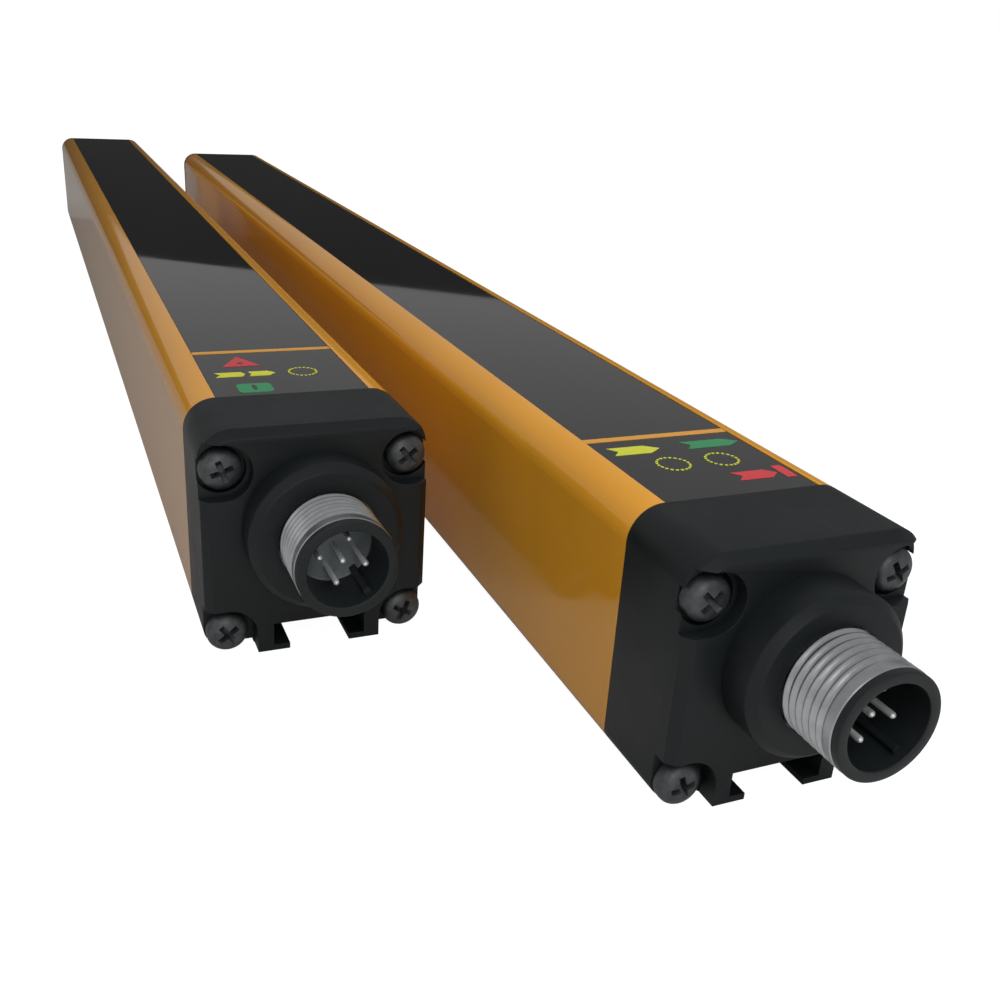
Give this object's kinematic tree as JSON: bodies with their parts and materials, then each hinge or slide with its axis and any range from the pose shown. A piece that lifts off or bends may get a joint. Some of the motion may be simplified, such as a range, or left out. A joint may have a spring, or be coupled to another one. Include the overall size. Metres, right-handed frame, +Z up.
{
  "type": "safety light curtain",
  "caption": "Safety light curtain as a set: slim emitter bar and receiver bar with black window strips, round threaded connectors at the near ends and a T-slot along each foot.",
  "frame": {"origin": "middle of the pair's bounding box at the base, where the feet rest", "axes": "+X across the bars from emitter to receiver, +Y along the bars away from the connectors, +Z up out of the front windows"},
  "size_m": [0.0666, 0.3974, 0.0295],
  "materials": {
    "enamel": "gloss orange powder enamel on an aluminium extrusion",
    "window": "black infrared window, polished face",
    "cap_plastic": "black moulded plastic, fine satin grain",
    "seal_rubber": "black sealing rubber",
    "black_steel": "blackened steel screws",
    "shell_metal": "nickel-plated brass",
    "insert_plastic": "black contact carrier plastic",
    "contact_metal": "bright plated contacts",
    "circuit_board": "green solder mask",
    "flex_film": "amber flexible film",
    "chip_plastic": "black chip body",
    "lamp_body": "pale lamp body",
    "diode_body": "dark infrared diode body",
    "carrier_plastic": "black carrier moulding",
    "lens_clear": "clear moulded lenses and light guides"
  },
  "bodies": {
    "root": {"emitter_profile": "enamel", "emitter_front_window": "window", "emitter_window_seals": "seal_rubber", "emitter_connector_cap": "cap_plastic", "emitter_end_plate": "cap_plastic", "emitter_screws": "black_steel", "emitter_connector_shell": "shell_metal", "emitter_connector_insert": "insert_plastic", "emitter_contact_pins": "contact_metal", "emitter_connector_board": "circuit_board", "emitter_flex_lead": "flex_film", "emitter_board_header": "insert_plastic", "emitter_main_board": "circuit_board", "emitter_processor_chips": "chip_plastic", "emitter_status_lamps": "lamp_body", "emitter_beam_diodes": "diode_body", "emitter_optics_carrier": "carrier_plastic", "emitter_lens_strip": "lens_clear", "emitter_light_guide_holder": "carrier_plastic", "emitter_light_guides": "lens_clear", "receiver_profile": "enamel", "receiver_front_window": "window", "receiver_window_seals": "seal_rubber", "receiver_connector_cap": "cap_plastic", "receiver_end_plate": "cap_plastic", "receiver_screws": "black_steel", "receiver_connector_shell": "shell_metal", "receiver_connector_insert": "insert_plastic", "receiver_contact_pins": "contact_metal", "receiver_connector_board": "circuit_board", "receiver_flex_lead": "flex_film", "receiver_board_header": "insert_plastic", "receiver_main_board": "circuit_board", "receiver_processor_chips": "chip_plastic", "receiver_status_lamps": "lamp_body", "receiver_beam_diodes": "diode_body", "receiver_optics_carrier": "carrier_plastic", "receiver_lens_strip": "lens_clear", "receiver_light_guide_holder": "carrier_plastic", "receiver_light_guides": "lens_clear"}
  },
  "joints": []
}
